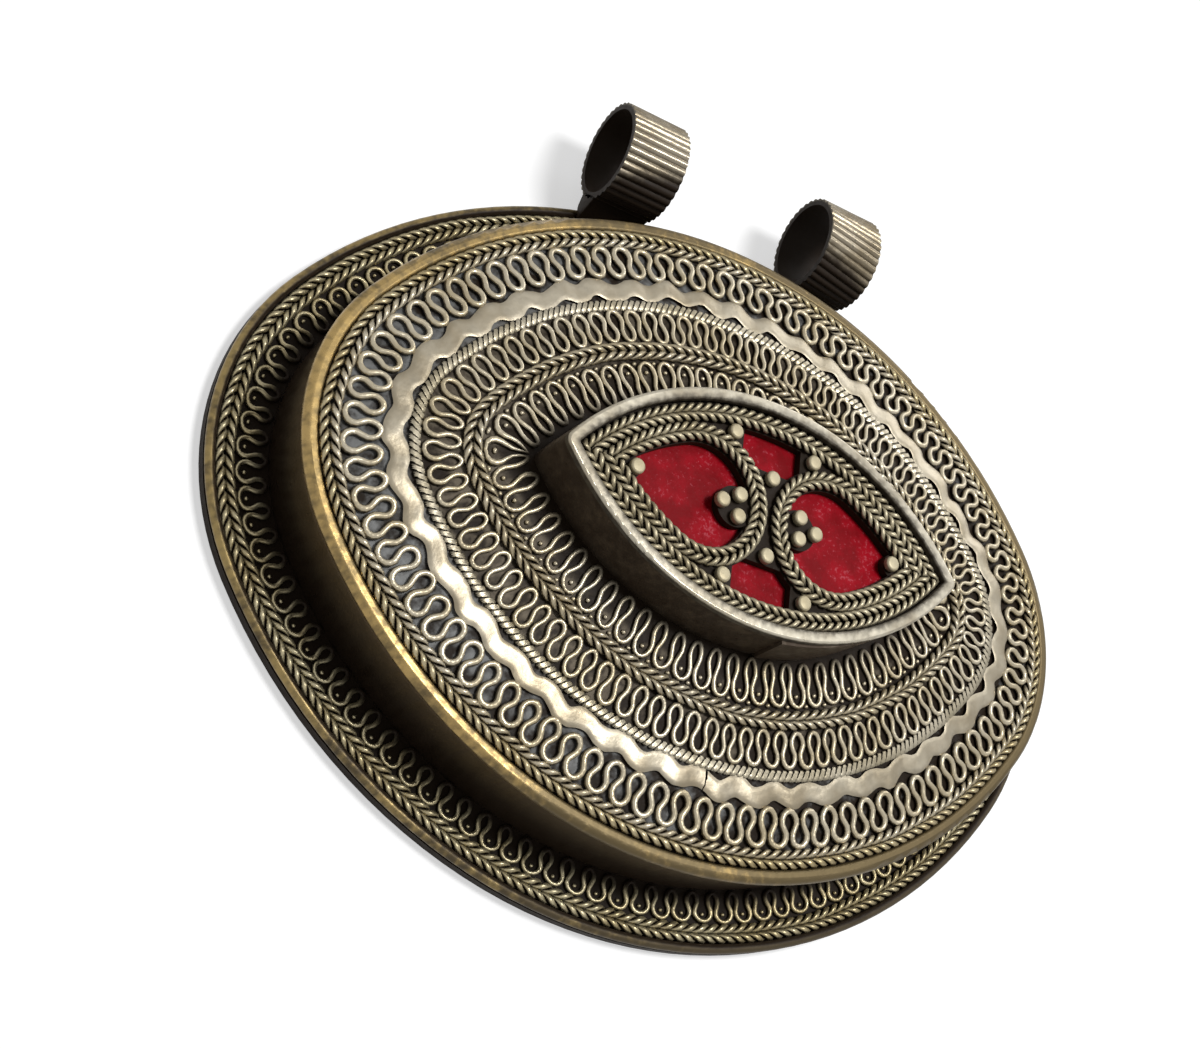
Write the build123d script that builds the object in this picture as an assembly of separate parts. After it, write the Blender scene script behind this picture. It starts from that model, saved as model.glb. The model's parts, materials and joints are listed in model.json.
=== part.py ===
from build123d import *
import math
import os

# Ghau amulet box: a back tray with two bails and a pull-off cover with a glass setting.
# Millimetres. X runs along the oval, Y up toward the bails as worn, Z out of the front.
# The origin is the middle of the back plate's underside.

# The pointed lens round the setting. Every ring is a parallel oval stacked outward from it.
SETTING_LENGTH = 43.0
SETTING_WIDTH = 22.2

# Wires and strips laid on the cover and on the back's flange.
EDGE_WIRE = 0.9
TWIST_WIRE = 0.8
WIRE_SEAT = 0.85
WIRE_GAP = 0.05
SCROLL_WIRE = 0.6
RIBBON_WIDTH = 2.2
RIBBON_HEIGHT = 0.7
MILLED_WIDTH = 1.0
MILLED_HEIGHT = 0.8
OUTER_SCROLL_WIDTH = 3.4
MIDDLE_SCROLL_WIDTH = 3.35
INNER_SCROLL_WIDTH = 3.9
BACK_SCROLL_WIDTH = 2.75

# Cover wall, its domed front plate and the brass bead round the front edge.
WALL_SHEET = 0.7
WALL_HEIGHT = 7.2
DOME_SHEET = 0.6
LIP_REACH = 0.15
BEAD_WIDTH = 1.3
BEAD_HEIGHT = 1.3
BEAD_ROUND = 0.6
BEAD_INNER_ROUND = 0.35
DOME_STEP = 0.75
DOME_OUTER_SLOPE = 0.19
DOME_MIDDLE_SLOPE = 0.155
DOME_INNER_SLOPE = 0.12

# Back plate and the upstand on it that the cover pushes over.
BACK_THICKNESS = 1.0
COLLAR_SHEET = 0.6
COLLAR_HEIGHT = 6.0
COLLAR_CLEARANCE = 0.15
SCROLL_CLEARANCE = 0.3

# Bails soldered on the flange.
BAIL_SPACING = 24.0
BAIL_WIDTH = 6.3
BAIL_RADIUS = 5.0
BAIL_SHEET = 0.7
BAIL_REACH = 3.4
BAIL_LIFT = 0.6
FOOT_DEPTH = 2.2
FOOT_BED = 0.6
FOOT_TOP_ANGLE = 195.0
FOOT_LOW_ANGLE = 238.0

# Glass setting in the middle of the cover.
SETTING_HEIGHT = 5.7
SETTING_MARGIN = 0.6
BEZEL_INSET = 0.2
BEZEL_SHEET = 0.7
BEZEL_TIP_RADIUS = 0.9
INNER_TIP_RADIUS = 0.2
RIM_WIDTH = 1.1
RIM_HEIGHT = 0.7
RIM_ROUND = 0.25
PANEL_CLEARANCE = 0.05
PANEL_DROP = 0.4
PANEL_WIRE_HEIGHT = 0.75
PANEL_SHEET = 0.8
GLASS_THICKNESS = 2.0
FRAME_GAP = 0.15
LEAF_REACH = 0.7
WINDOW_MARGIN = 0.5
TONGUE_RADIUS = 1.9
TONGUE_ROOT = 0.4
TIP_TONGUE = 1.2
WEB_MARGIN = 0.5
GRANULE = 1.4
TIP_GAP = 0.2
MIDDLE_GAP = 0.5
CLUSTER_ROOT = 0.65
CLUSTER_SPACE = 0.65

# Rolled prayer paper inside the tray.
ROLL_LENGTH = 40.0
ROLL_CLEARANCE = 1.0
ROLL_BORE = 1.2
PAPER = 0.35
ROLL_PITCH = 0.8
ROLL_HALF_TURNS = 5
ROLL_REST = 0.05

# An offset counts outward from the lens, and all offsets share the lens's arc middles.
END_X = SETTING_LENGTH / 2
LENS_HALF_WIDTH = SETTING_WIDTH / 2
SIDE_Y = (END_X**2 - LENS_HALF_WIDTH**2) / (2 * LENS_HALF_WIDTH)
SIDE_RADIUS = SIDE_Y + LENS_HALF_WIDTH
TURN = math.degrees(math.atan2(SIDE_Y, END_X))

# Offsets on the cover, from the setting outward.
inner_scroll_in = SETTING_MARGIN
inner_scroll_out = inner_scroll_in + INNER_SCROLL_WIDTH
twist_4_mid = inner_scroll_out + WIRE_GAP + TWIST_WIRE / 2
twist_3_mid = twist_4_mid + WIRE_GAP + TWIST_WIRE
middle_scroll_in = twist_3_mid + WIRE_GAP + TWIST_WIRE / 2
middle_scroll_out = middle_scroll_in + MIDDLE_SCROLL_WIDTH
milled_in = middle_scroll_out + WIRE_GAP
milled_out = milled_in + MILLED_WIDTH
ribbon_in = milled_out + WIRE_GAP
ribbon_out = ribbon_in + RIBBON_WIDTH
outer_scroll_in = ribbon_out + WIRE_GAP
outer_scroll_out = outer_scroll_in + OUTER_SCROLL_WIDTH
twist_2_mid = outer_scroll_out + WIRE_GAP + TWIST_WIRE / 2
twist_1_mid = twist_2_mid + WIRE_GAP + TWIST_WIRE
bead_in = twist_1_mid + WIRE_GAP + TWIST_WIRE / 2
bead_out = bead_in + BEAD_WIDTH
wall_in = bead_in
wall_out = wall_in + WALL_SHEET

# Offsets on the back, from the collar outward.
collar_out = wall_in - COLLAR_CLEARANCE
collar_in = collar_out - COLLAR_SHEET
back_scroll_in = wall_out + SCROLL_CLEARANCE
back_scroll_out = back_scroll_in + BACK_SCROLL_WIDTH
back_twist_inner_mid = back_scroll_out + WIRE_GAP + TWIST_WIRE / 2
back_twist_outer_mid = back_twist_inner_mid + WIRE_GAP + TWIST_WIRE
edge_wire_mid = back_twist_outer_mid + TWIST_WIRE / 2 + WIRE_GAP + EDGE_WIRE / 2
back_edge = edge_wire_mid + EDGE_WIRE / 2

# Heights of the cover: lip, then three cone bands that make the dome, then the flat under the setting.
lip_low = BACK_THICKNESS + WALL_HEIGHT
lip_top = lip_low + DOME_SHEET
knee_1 = outer_scroll_in - WIRE_GAP / 2
knee_2 = middle_scroll_in - WIRE_GAP / 2
flat_edge = inner_scroll_in
dome_edge_z = lip_top + DOME_STEP
knee_1_z = dome_edge_z + (bead_in - knee_1) * DOME_OUTER_SLOPE
knee_2_z = knee_1_z + (knee_1 - knee_2) * DOME_MIDDLE_SLOPE
flat_z = knee_2_z + (knee_2 - flat_edge) * DOME_INNER_SLOPE

# Heights and offsets of the setting.
rim_top = flat_z + SETTING_HEIGHT
rim_low = rim_top - RIM_HEIGHT
panel_top = rim_top - PANEL_DROP - PANEL_WIRE_HEIGHT
glass_top = panel_top - PANEL_SHEET
glass_low = glass_top - GLASS_THICKNESS
bezel_out = -BEZEL_INSET
bezel_in = bezel_out - BEZEL_SHEET
rim_in = bezel_out - RIM_WIDTH
frame_outer_mid = rim_in - FRAME_GAP - TWIST_WIRE / 2
frame_inner_mid = frame_outer_mid - TWIST_WIRE - WIRE_GAP
leaf_outer_mid = frame_inner_mid - TWIST_WIRE - WIRE_GAP
leaf_inner_mid = leaf_outer_mid - TWIST_WIRE - WIRE_GAP
leaf_window = leaf_inner_mid - WINDOW_MARGIN
frame_window = frame_inner_mid - WINDOW_MARGIN
leaf_side = SIDE_RADIUS + leaf_outer_mid
leaf_round = (leaf_side**2 - LEAF_REACH**2 - SIDE_Y**2) / (2 * (LEAF_REACH + leaf_side))
leaf_x = LEAF_REACH + leaf_round


def on_back(offset):
    return BACK_THICKNESS


def on_dome(offset):
    if offset > knee_1:
        return knee_1_z - (offset - knee_1) * DOME_OUTER_SLOPE
    if offset > knee_2:
        return knee_2_z - (offset - knee_2) * DOME_MIDDLE_SLOPE
    return flat_z - (offset - flat_edge) * DOME_INNER_SLOPE


# A full oval face at an offset above zero.
def oval(offset):
    side = SIDE_RADIUS + offset
    right = CenterArc((END_X, 0), offset, -TURN, 2 * TURN)
    top = CenterArc((0, -SIDE_Y), side, TURN, 180 - 2 * TURN)
    left = CenterArc((-END_X, 0), offset, 180 - TURN, 2 * TURN)
    bottom = CenterArc((0, SIDE_Y), side, 180 + TURN, 180 - 2 * TURN)
    return make_face([right, top, left, bottom])


# A pointed lens face at an offset below zero, with softly rounded tips.
def lens(offset, tip):
    side = SIDE_RADIUS + offset
    start = math.degrees(math.asin(SIDE_Y / side))
    top = CenterArc((0, -SIDE_Y), side, start, 180 - 2 * start)
    bottom = CenterArc((0, SIDE_Y), side, 180 + start, 180 - 2 * start)
    face = make_face([top, bottom])
    return fillet(face.vertices(), tip)


# The right-hand leaf: sides along the lens, tip outward, round end toward the middle.
def leaf(offset):
    side = SIDE_RADIUS + offset
    end = leaf_round + offset - leaf_outer_mid
    start = math.degrees(math.asin(SIDE_Y / side))
    meet = math.degrees(math.atan2(SIDE_Y, leaf_x))
    upper = CenterArc((0, -SIDE_Y), side, start, meet - start)
    round_end = CenterArc((leaf_x, 0), end, meet, 360 - 2 * meet)
    lower = CenterArc((0, SIDE_Y), side, -meet, meet - start)
    return make_face([upper, round_end, lower])


# Carry a section, drawn as offset across and height up, once round the oval.
def ring(section):
    arcs = [
        ((END_X, 0, 0), 0.0, -TURN, 2 * TURN),
        ((0, -SIDE_Y, 0), SIDE_RADIUS, TURN, 180 - 2 * TURN),
        ((-END_X, 0, 0), 0.0, 180 - TURN, 2 * TURN),
        ((0, SIDE_Y, 0), SIDE_RADIUS, 180 + TURN, 180 - 2 * TURN),
    ]
    whole = Part()
    for middle, shift, start, sweep_angle in arcs:
        angle = math.radians(start)
        out = Vector(math.cos(angle), math.sin(angle), 0)
        plane = Plane(Vector(middle) + out * shift, x_dir=out, z_dir=out.cross(Vector(0, 0, 1)))
        whole += revolve(plane * section, Axis(middle, (0, 0, 1)), sweep_angle)
    return whole


def polygon(points):
    return make_face(Polyline(*points, close=True))


# A round wire soldered down on a small flat.
def wire(mid, diameter, ground):
    reach = diameter / 4
    lean = math.degrees(math.atan2(ground(mid + reach) - ground(mid - reach), 2 * reach))
    disc = Pos(0, WIRE_SEAT * diameter / 2) * Circle(diameter / 2)
    disc -= Pos(0, -diameter) * Rectangle(4 * diameter, 2 * diameter)
    return ring(Pos(mid, ground(mid)) * Rot(0, 0, lean) * disc)


# A flat strip that lies on the ground it follows.
def strip(outer, inner, thickness, ground):
    low = [(inner, ground(inner)), (outer, ground(outer))]
    high = [(outer, ground(outer) + thickness), (inner, ground(inner) + thickness)]
    return ring(polygon(low + high))


def box_section(outer, inner, low, high):
    return polygon([(inner, low), (outer, low), (outer, high), (inner, high)])


def slab(face, low, high):
    return Pos(0, 0, low) * extrude(face, high - low)


# Back tray
parts = {}
parts["back_plate"] = slab(oval(back_edge), 0, BACK_THICKNESS)
parts["back_edge_wire"] = wire(edge_wire_mid, EDGE_WIRE, on_back)
parts["back_twist_outer"] = wire(back_twist_outer_mid, TWIST_WIRE, on_back)
parts["back_twist_inner"] = wire(back_twist_inner_mid, TWIST_WIRE, on_back)
parts["back_scroll"] = strip(back_scroll_out, back_scroll_in, SCROLL_WIRE, on_back)
collar_top = BACK_THICKNESS + COLLAR_HEIGHT
parts["tray_collar"] = ring(box_section(collar_out, collar_in, BACK_THICKNESS, collar_top))

# Bails: a tube along X on a foot that beds down over the flange wires.
bail_x = BAIL_SPACING / 2
edge_y = math.sqrt((SIDE_RADIUS + back_edge) ** 2 - bail_x**2) - SIDE_Y
bail_y = edge_y + BAIL_REACH
bail_z = BACK_THICKNESS + BAIL_LIFT + BAIL_RADIUS
bail_mid = BAIL_RADIUS - BAIL_SHEET / 2
foot_high = math.radians(FOOT_TOP_ANGLE)
foot_low = math.radians(FOOT_LOW_ANGLE)
foot = polygon(
    [
        (edge_y - FOOT_DEPTH, BACK_THICKNESS + FOOT_BED),
        (edge_y - EDGE_WIRE / 2, BACK_THICKNESS + FOOT_BED),
        (bail_y + bail_mid * math.cos(foot_low), bail_z + bail_mid * math.sin(foot_low)),
        (bail_y + bail_mid * math.cos(foot_high), bail_z + bail_mid * math.sin(foot_high)),
    ]
)
loop = foot + Pos(bail_y, bail_z) * Circle(BAIL_RADIUS)
loop -= Pos(bail_y, bail_z) * Circle(BAIL_RADIUS - BAIL_SHEET)
bail = Pos(-BAIL_WIDTH / 2, 0, 0) * extrude(Plane.YZ * loop, BAIL_WIDTH)
flange_wires = parts["back_edge_wire"] + parts["back_twist_outer"] + parts["back_twist_inner"]
parts["bail_left"] = Pos(-bail_x, 0, 0) * bail - flange_wires
parts["bail_right"] = Pos(bail_x, 0, 0) * bail - flange_wires

# Prayer roll: half turns that grow by half a pitch each.
outer_edges = []
inner_edges = []
for i in range(ROLL_HALF_TURNS):
    turn_middle = (0 if i % 2 == 0 else ROLL_PITCH / 2, 0)
    turn_radius = ROLL_BORE + PAPER / 2 + i * ROLL_PITCH / 2
    turn_start = 0 if i % 2 == 0 else 180
    outer_edges.append(CenterArc(turn_middle, turn_radius + PAPER / 2, turn_start, 180))
    inner_edges.append(CenterArc(turn_middle, turn_radius - PAPER / 2, turn_start, 180))
start_line = Line(inner_edges[0] @ 0, outer_edges[0] @ 0)
end_line = Line(inner_edges[-1] @ 1, outer_edges[-1] @ 1)
paper = make_face(outer_edges + inner_edges + [start_line, end_line])
collar_y = math.sqrt((SIDE_RADIUS + collar_in) ** 2 - ROLL_LENGTH**2 / 4) - SIDE_Y
roll_y = ROLL_CLEARANCE - collar_y - paper.bounding_box().min.X
roll_z = BACK_THICKNESS + ROLL_REST - paper.bounding_box().min.Y
roll = Pos(-ROLL_LENGTH / 2, 0, 0) * extrude(Plane.YZ * paper, ROLL_LENGTH)
parts["prayer_roll"] = Pos(0, roll_y, roll_z) * roll

# Cover
parts["cover_wall"] = ring(box_section(wall_out, wall_in, BACK_THICKNESS, lip_low))
dome = polygon(
    [
        (wall_out + LIP_REACH, lip_low),
        (wall_out + LIP_REACH, lip_top),
        (bead_in, lip_top),
        (bead_in, dome_edge_z),
        (knee_1, knee_1_z),
        (knee_2, knee_2_z),
        (flat_edge, flat_z),
        (flat_edge, flat_z - DOME_SHEET),
        (knee_2, knee_2_z - DOME_SHEET),
        (knee_1, knee_1_z - DOME_SHEET),
        (bead_in - DOME_SHEET, on_dome(bead_in - DOME_SHEET) - DOME_SHEET),
        (bead_in - DOME_SHEET, lip_low),
    ]
)
parts["cover_plate"] = ring(dome) + slab(oval(flat_edge), flat_z - DOME_SHEET, flat_z)
bead = box_section(bead_out, bead_in, lip_top, lip_top + BEAD_HEIGHT)
bead = fillet(bead.vertices().sort_by(Axis.X)[2:], BEAD_ROUND)
bead = fillet(bead.vertices().sort_by(Axis.X)[:2].sort_by(Axis.Y)[-1], BEAD_INNER_ROUND)
parts["cover_bead"] = ring(bead)
parts["cover_twist_1"] = wire(twist_1_mid, TWIST_WIRE, on_dome)
parts["cover_twist_2"] = wire(twist_2_mid, TWIST_WIRE, on_dome)
parts["cover_scroll_outer"] = strip(outer_scroll_out, outer_scroll_in, SCROLL_WIRE, on_dome)
parts["cover_ribbon"] = strip(ribbon_out, ribbon_in, RIBBON_HEIGHT, on_dome)
parts["cover_milled_wire"] = strip(milled_out, milled_in, MILLED_HEIGHT, on_dome)
parts["cover_scroll_middle"] = strip(middle_scroll_out, middle_scroll_in, SCROLL_WIRE, on_dome)
parts["cover_twist_3"] = wire(twist_3_mid, TWIST_WIRE, on_dome)
parts["cover_twist_4"] = wire(twist_4_mid, TWIST_WIRE, on_dome)
parts["cover_scroll_inner"] = strip(inner_scroll_out, inner_scroll_in, SCROLL_WIRE, on_dome)

# Setting: bed, glass and pierced panel inside a bezel.
inside = bezel_in - PANEL_CLEARANCE
parts["setting_bed"] = slab(lens(inside, INNER_TIP_RADIUS), flat_z, glass_low)
parts["red_glass"] = slab(lens(inside, INNER_TIP_RADIUS), glass_low, glass_top)
bezel = lens(bezel_out, BEZEL_TIP_RADIUS) - lens(bezel_in, INNER_TIP_RADIUS)
parts["bezel_wall"] = slab(bezel, flat_z, rim_low)
rim = slab(lens(bezel_out, BEZEL_TIP_RADIUS) - lens(rim_in, INNER_TIP_RADIUS), rim_low, rim_top)
parts["bezel_rim"] = fillet(rim.faces().sort_by(Axis.Z)[-1].edges(), RIM_ROUND)

# Granule places: in the leaf tips, in threes at the round ends, and between the leaves and the frame.
half = TWIST_WIRE / 2
tip_side = SIDE_RADIUS + leaf_inner_mid - half - TIP_GAP - GRANULE / 2
tip_x = math.sqrt(tip_side**2 - SIDE_Y**2)
leaf_end_x = LEAF_REACH + leaf_outer_mid - leaf_inner_mid + half
pair_x = leaf_end_x + CLUSTER_ROOT + GRANULE / 2
cluster_pitch = GRANULE + CLUSTER_SPACE
lone_x = pair_x + cluster_pitch * math.sqrt(3) / 2
nest_side = SIDE_RADIUS + frame_inner_mid - half - WIRE_GAP - GRANULE / 2
nest_leaf = leaf_round + half + WIRE_GAP + GRANULE / 2
nest_gap = math.hypot(leaf_x, SIDE_Y)
nest_cos = (nest_gap**2 + nest_leaf**2 - nest_side**2) / (2 * nest_gap * nest_leaf)
nest_angle = math.atan2(-SIDE_Y, -leaf_x) - math.acos(nest_cos)
nest_x = leaf_x + nest_leaf * math.cos(nest_angle)
nest_y = nest_leaf * math.sin(nest_angle)
middle_y = math.sqrt((nest_leaf + MIDDLE_GAP) ** 2 - leaf_x**2)

# Windows: one in each leaf and one above and below where the leaves meet.
tongue_x = leaf_end_x + TONGUE_RADIUS - TONGUE_ROOT
right_window = leaf(leaf_window) - Pos(tongue_x, 0) * Circle(TONGUE_RADIUS)
right_window -= Pos(tip_x + TIP_TONGUE / 2, 0) * Circle(TIP_TONGUE)
right_window = right_window.faces().sort_by(SortBy.AREA)[-1]
left_window = mirror(right_window, Plane.YZ)
right_leaf = leaf(leaf_outer_mid + WINDOW_MARGIN)
web = lens(frame_window, INNER_TIP_RADIUS) - right_leaf - mirror(right_leaf, Plane.YZ)
web_low = middle_y + GRANULE / 2
web_width = 2 * nest_x - GRANULE - 2 * WEB_MARGIN
top_window = web & Pos(0, web_low + SETTING_WIDTH / 2) * Rectangle(web_width, SETTING_WIDTH)
bottom_window = mirror(top_window, Plane.XZ)
panel = lens(inside, INNER_TIP_RADIUS) - left_window - right_window - top_window - bottom_window
parts["window_panel"] = slab(panel, glass_top, panel_top)


# A flat-topped wire on the panel, given the two outlines it runs between.
def panel_wire(outside, within):
    return slab(outside - within, panel_top, panel_top + PANEL_WIRE_HEIGHT)


outer_frame = lens(frame_outer_mid + half, INNER_TIP_RADIUS)
inner_frame = lens(frame_inner_mid + half, INNER_TIP_RADIUS)
parts["frame_twist_outer"] = panel_wire(outer_frame, lens(frame_outer_mid - half, INNER_TIP_RADIUS))
parts["frame_twist_inner"] = panel_wire(inner_frame, lens(frame_inner_mid - half, INNER_TIP_RADIUS))
leaf_outer = panel_wire(leaf(leaf_outer_mid + half), leaf(leaf_outer_mid - half))
leaf_inner = panel_wire(leaf(leaf_inner_mid + half), leaf(leaf_inner_mid - half))
parts["leaf_right_outer"] = leaf_outer
parts["leaf_right_inner"] = leaf_inner
parts["leaf_left_outer"] = mirror(leaf_outer, Plane.YZ)
parts["leaf_left_inner"] = mirror(leaf_inner, Plane.YZ)

# Granules with a flat under each one.
spots = [(0, middle_y), (0, -middle_y)]
for side_x in (1, -1):
    spots += [(side_x * tip_x, 0), (side_x * lone_x, 0)]
    spots += [(side_x * pair_x, cluster_pitch / 2), (side_x * pair_x, -cluster_pitch / 2)]
    spots += [(side_x * nest_x, nest_y), (side_x * nest_x, -nest_y)]
ball = Pos(0, 0, GRANULE / 4) * Sphere(GRANULE / 2)
ball &= Pos(0, 0, GRANULE) * Box(2 * GRANULE, 2 * GRANULE, 2 * GRANULE)
granules = [Pos(x, y, panel_top) * ball for x, y in spots]
parts["granules"] = Compound(children=[g.solid() for g in granules])

os.makedirs("parts", exist_ok=True)
for name, shape in parts.items():
    export_step(shape, f"parts/{name}.step")
    print(name, len(shape.solids()), round(shape.volume, 2))
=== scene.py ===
# %% [markdown]
# An oval amulet box in silver filigree
# The box is a flat back tray with two bails for a neck cord and a raised cover that pulls off.
# Rings of twisted and looped wire are soldered on both, and a pointed setting of red glass sits in
# the middle of the cover. The solid model already holds every sheet, wall and plain ring, so this
# lesson adds what the solids only hint at: the lay of the twisted wires, the loops of the filigree,
# the crimped ribbon, the reeding of the bails, and finishes.

# %% Load the solid model
import json
import math

import bpy
from mathutils import Matrix, Vector

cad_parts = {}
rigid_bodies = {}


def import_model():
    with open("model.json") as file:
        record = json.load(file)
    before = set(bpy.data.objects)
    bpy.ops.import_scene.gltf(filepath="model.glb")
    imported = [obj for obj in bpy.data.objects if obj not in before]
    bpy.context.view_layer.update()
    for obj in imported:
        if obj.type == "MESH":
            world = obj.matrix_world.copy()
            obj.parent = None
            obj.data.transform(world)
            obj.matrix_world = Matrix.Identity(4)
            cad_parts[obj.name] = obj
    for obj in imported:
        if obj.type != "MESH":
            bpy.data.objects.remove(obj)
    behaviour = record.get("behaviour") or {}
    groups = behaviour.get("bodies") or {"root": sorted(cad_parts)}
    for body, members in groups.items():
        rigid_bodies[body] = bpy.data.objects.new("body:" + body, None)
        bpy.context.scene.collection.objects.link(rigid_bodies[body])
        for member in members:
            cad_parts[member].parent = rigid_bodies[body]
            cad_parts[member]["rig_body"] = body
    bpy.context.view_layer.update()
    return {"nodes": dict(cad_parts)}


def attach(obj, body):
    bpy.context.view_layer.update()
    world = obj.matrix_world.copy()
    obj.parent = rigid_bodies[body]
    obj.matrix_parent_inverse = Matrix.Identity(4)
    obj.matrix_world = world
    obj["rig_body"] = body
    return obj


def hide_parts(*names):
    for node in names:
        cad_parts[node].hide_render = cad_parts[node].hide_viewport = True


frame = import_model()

nodes = frame["nodes"]
print("solid parts:", len(nodes))

# %% [markdown]
# Every ring of the box runs parallel to the next, so one family of ovals describes them all. An
# oval has two end arcs and two side arcs. Its offset is the distance from the pointed lens in the
# middle, so a ring is named by one number. Below zero the ends vanish and the oval becomes a
# pointed lens.

# %% The family of ovals
MM = 0.001
END_X = 21.5 * MM
SIDE_Y = 15.2721 * MM
SIDE_RADIUS = 26.3721 * MM
TURN = math.atan2(SIDE_Y, END_X)


def oval_arcs(offset):
    """Arcs of an oval as (centre x, centre y, radius, first angle, last angle), clockwise."""
    side = SIDE_RADIUS + offset
    if offset > 0:
        return [
            (END_X, 0.0, offset, TURN, -TURN),
            (0.0, SIDE_Y, side, -TURN, TURN - math.pi),
            (-END_X, 0.0, offset, math.pi + TURN, math.pi - TURN),
            (0.0, -SIDE_Y, side, math.pi - TURN, TURN),
        ]
    tip = math.asin(SIDE_Y / side)
    return [
        (0.0, SIDE_Y, side, -tip, tip - math.pi),
        (0.0, -SIDE_Y, side, math.pi - tip, tip),
    ]


LEAF_X = 6.803 * MM
LEAF_ROUND = 6.103 * MM
LEAF_OUTER = -3.55 * MM


def leaf_arcs(offset, hand):
    """Arcs of a leaf window, clockwise: pointed at the lens's tip, round towards its middle."""
    side = SIDE_RADIUS + offset
    end = LEAF_ROUND + offset - LEAF_OUTER
    tip = math.asin(SIDE_Y / side)
    meet = math.atan2(SIDE_Y, LEAF_X)
    if hand > 0:
        return [
            (0.0, SIDE_Y, side, -tip, -meet),
            (LEAF_X, 0.0, end, 2 * math.pi - meet, meet),
            (0.0, -SIDE_Y, side, meet, tip),
        ]
    return [
        (0.0, -SIDE_Y, side, math.pi - tip, math.pi - meet),
        (-LEAF_X, 0.0, end, math.pi - meet, meet - math.pi),
        (0.0, SIDE_Y, side, meet - math.pi, tip - math.pi),
    ]


print("half an end arc of the oval, degrees:", round(math.degrees(TURN), 1))

# %% [markdown]
# A list of arcs is walked in equal steps to give points for a path. Small rings take finer steps.

# %% Walk along the arcs
WALK_STEP = 0.4 * MM
FINE_STEP = 0.25 * MM
EDGE_WIRE_MID = 24.05 * MM


def walk(arcs, height, step=WALK_STEP):
    """Points along the arcs, one step apart, at one height."""
    points = []
    for x, y, radius, first, last in arcs:
        count = max(2, round(abs(last - first) * radius / step))
        for i in range(count):
            angle = first + (last - first) * i / count
            spot = (x + radius * math.cos(angle), y + radius * math.sin(angle), height)
            points.append(Vector(spot))
    return points


def closed_length(points):
    """Length once round the points."""
    return sum((b - a).length for a, b in zip(points, points[1:] + points[:1]))


edge_length = closed_length(walk(oval_arcs(EDGE_WIRE_MID), 0))
print("length of the outermost ring, mm:", round(edge_length / MM, 1))

# %% [markdown]
# The cover's sheet is a low dome of three slopes. A ring lies on the sheet at its own offset, so
# its height and its tilt come from the same three slopes.

# %% Heights of the grounds
BACK_TOP = 1.0 * MM
PANEL_TOP = 16.797 * MM
DOME = [
    (18.1 * MM, 9.55 * MM, 0.19),
    (12.925 * MM, 10.533 * MM, 0.155),
    (6.225 * MM, 11.572 * MM, 0.12),
]


def dome(offset):
    """Height and slope of the cover's sheet at an offset."""
    for start, height, slope in DOME:
        if offset <= start:
            found = (height + (start - offset) * slope, slope)
    return found


def ground_at(body, offset):
    """Height and slope of the sheet that a ring of this body lies on."""
    return (BACK_TOP, 0.0) if body == "back_tray" else dome(offset)


print("dome at the foot of the setting, mm:", round(dome(0.0)[0] / MM, 2))

# %% [markdown]
# Operators act on what is selected, so each step starts by selecting one piece alone. These few
# helpers name a new piece, apply a modifier to it, and pick some of its points or faces.

# %% Handle one piece
MERGE = 0.02 * MM


def deselect():
    """Select nothing, so that the next operator acts on the new piece alone."""
    bpy.ops.object.select_all(action="DESELECT")


def take(piece):
    """Make this piece the only selected and the active one."""
    deselect()
    piece.select_set(True)
    bpy.context.view_layer.objects.active = piece


def named(name):
    """Name the piece that an operator just made."""
    piece = bpy.context.object
    piece.name = name
    piece.data.name = name
    return piece


def settle(piece):
    """Put the piece's place and turn into its mesh, so that the object sits at the origin."""
    take(piece)
    bpy.ops.object.transform_apply(location=True, rotation=True, scale=True)


def modify(piece, kind, **settings):
    """Add a modifier with these settings and apply it."""
    take(piece)
    modifier = piece.modifiers.new(kind.lower(), kind)
    for key, value in settings.items():
        setattr(modifier, key, value)
    bpy.ops.object.modifier_apply(modifier=modifier.name)


def join(pieces):
    """Join the pieces into the first one."""
    take(pieces[0])
    for piece in pieces[1:]:
        piece.select_set(True)
    bpy.ops.object.join()
    return pieces[0]


def pick(piece, kind, chosen):
    """Select only the points (VERT) or faces (FACE) that the test picks, and stay in edit mode."""
    take(piece)
    bpy.ops.object.mode_set(mode="EDIT")
    bpy.ops.mesh.select_mode(type=kind)
    bpy.ops.mesh.select_all(action="DESELECT")
    bpy.ops.object.mode_set(mode="OBJECT")
    for part in piece.data.vertices if kind == "VERT" else piece.data.polygons:
        part.select = chosen(part)
    bpy.ops.object.mode_set(mode="EDIT")


def shift(piece, chosen, move):
    """Move the points that the test picks by their place."""
    pick(piece, "VERT", lambda vertex: chosen(vertex.co))
    bpy.ops.transform.translate(value=move)
    bpy.ops.object.mode_set(mode="OBJECT")


def clean(piece):
    """Merge the points that meet and turn all faces outwards."""
    take(piece)
    bpy.ops.object.mode_set(mode="EDIT")
    bpy.ops.mesh.select_all(action="SELECT")
    bpy.ops.mesh.remove_doubles(threshold=MERGE)
    bpy.ops.mesh.normals_make_consistent(inside=False)
    bpy.ops.object.mode_set(mode="OBJECT")
    bpy.ops.object.shade_smooth()


def place(piece, body, slot_name, *stands_for):
    """Say which body the piece rides on, and the solid that it stands for; the finish slot is not
    used.
    """
    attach(piece, body)
    if stands_for:
        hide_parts(*stands_for)


print("points closer than this are merged, mm:", MERGE / MM)

# %% [markdown]
# Rings are made the way a goldsmith makes them: a short pattern is repeated into a long wire, and
# the wire is bent round. The Array modifier repeats and the Curve modifier bends, with X along the
# wire and Y to the outside of the ring. The pattern's length is the ring's length over a whole
# number, so that the two ends meet and can be merged. A Displace modifier then pushes the wire
# about a little, because no hand bends a wire evenly.

# %% Repeat a pattern round a path
ARRAY_MERGE = 0.01 * MM
Y_BLOTCH = 1.13


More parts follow.
